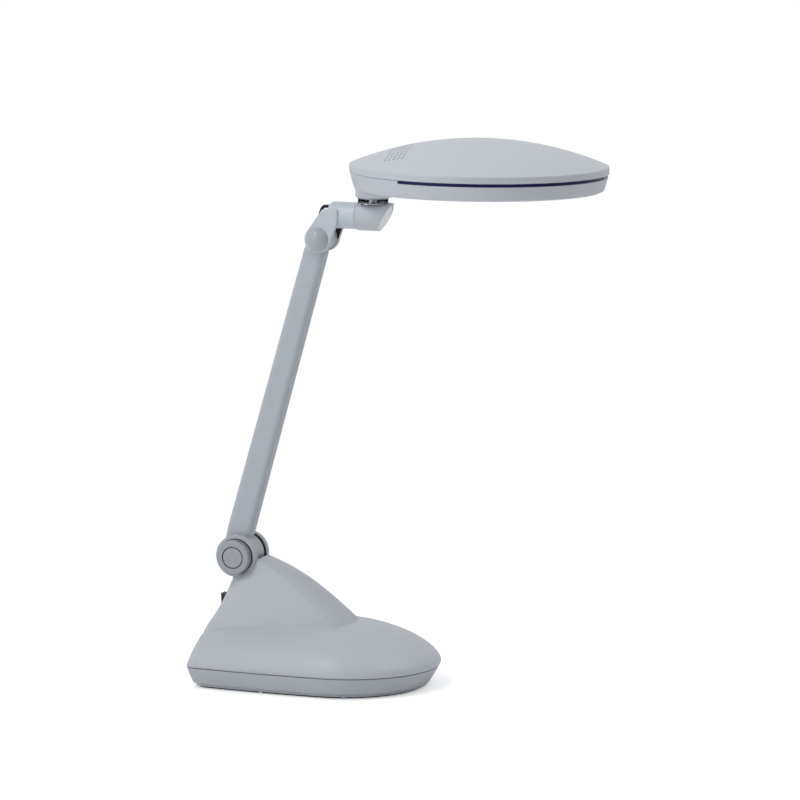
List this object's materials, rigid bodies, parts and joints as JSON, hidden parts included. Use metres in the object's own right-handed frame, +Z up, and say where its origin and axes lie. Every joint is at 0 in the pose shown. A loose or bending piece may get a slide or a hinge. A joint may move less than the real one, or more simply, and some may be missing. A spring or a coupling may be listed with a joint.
{
  "type": "desk lamp",
  "caption": "Round-shade desk lamp on a weighted, swept base, with one friction arm, an elbow, a rolling and panning neck, a tension knob and a rocker switch.",
  "frame": {"origin": "middle of the lamp's bounding box in plan, on the table under the rubber pad", "axes": "+Z up, +X from the base towards the front of the shade, +Y to the left of the lamp seen from behind"},
  "size_m": [0.3768, 0.2312, 0.4999],
  "materials": {
    "grey_plastic": "satin, cool light grey",
    "grey_paint": "satin powder coat, cool light grey",
    "white_plastic": "satin white",
    "violet_acrylic": "dark violet translucent, smooth",
    "diffuser_acrylic": "opal prismatic",
    "black_plastic": "smooth black",
    "black_rubber": "matte black",
    "zinc_steel": "zinc plated",
    "cast_weight": "raw casting",
    "bright_sheet": "bright pressed sheet",
    "lamp_glass": "phosphor-coated white"
  },
  "bodies": {
    "base": {"base_cover": "grey_plastic", "base_pan": "grey_plastic", "base_pad": "black_rubber", "base_screws": "zinc_steel", "ballast_weight": "cast_weight", "control_gear": "white_plastic", "terminal_block": "white_plastic", "switch_frame": "black_plastic", "cord_grommet": "black_rubber", "hinge_bolt": "zinc_steel", "far_ear_cap": "grey_plastic", "hinge_spring_stack": "zinc_steel"},
    "rocker": {"switch_rocker": "black_plastic"},
    "knob": {"tension_knob": "grey_plastic", "knob_disc": "grey_plastic"},
    "arm": {"arm_tube": "grey_paint", "lower_knuckle": "grey_plastic", "upper_eye": "grey_plastic", "arm_cable": "black_rubber"},
    "fork": {"elbow_fork": "grey_paint", "cross_tube": "grey_paint", "near_dome_cap": "grey_plastic", "far_dome_cap": "grey_plastic", "elbow_bolt": "zinc_steel", "elbow_nut": "zinc_steel", "elbow_cable": "black_rubber", "swivel_bush": "grey_plastic", "bush_retainer": "zinc_steel"},
    "swivel": {"swivel_socket": "grey_plastic", "swivel_end_cap": "white_plastic", "friction_disc": "zinc_steel"},
    "shade": {"neck_post": "zinc_steel", "neck_nuts": "zinc_steel", "neck_spring": "zinc_steel", "shade_tray": "grey_plastic", "shade_cover": "grey_plastic", "cover_screws": "zinc_steel", "accent_ring": "violet_acrylic", "diffuser": "diffuser_acrylic", "reflector": "bright_sheet", "lamp_tubes": "lamp_glass", "lamp_base": "white_plastic", "lamp_holder": "white_plastic", "lamp_clip": "zinc_steel"}
  },
  "joints": [
    {"name": "switch_rock", "type": "hinge", "parent": "base", "child": "rocker", "pos_m": [-0.16914, 0, 0.06654], "axis": [0, 1, 0], "range_deg": [0, 16]},
    {"name": "knob_turn", "type": "hinge", "parent": "base", "child": "knob", "pos_m": [-0.15426, 0, 0.1136], "axis": [0, 1, 0], "range_deg": [-180, 180]},
    {"name": "lower_hinge", "type": "hinge", "parent": "base", "child": "arm", "pos_m": [-0.15426, 0, 0.1136], "axis": [0, 1, 0], "range_deg": [-22, 35]},
    {"name": "elbow_hinge", "type": "hinge", "parent": "arm", "child": "fork", "pos_m": [-0.07584, 0, 0.40628], "axis": [0, 1, 0], "range_deg": [-30, 45], "deforming": ["elbow_cable"]},
    {"name": "shade_roll", "type": "hinge", "parent": "fork", "child": "swivel", "pos_m": [-0.0416, 0, 0.42754], "axis": [0.9999, 0, -0.0113], "range_deg": [-45, 45]},
    {"name": "shade_pan", "type": "hinge", "parent": "swivel", "child": "shade", "pos_m": [-0.02719, 0, 0.44533], "axis": [0.0113, 0, 0.9999], "range_deg": [-90, 90]}
  ]
}
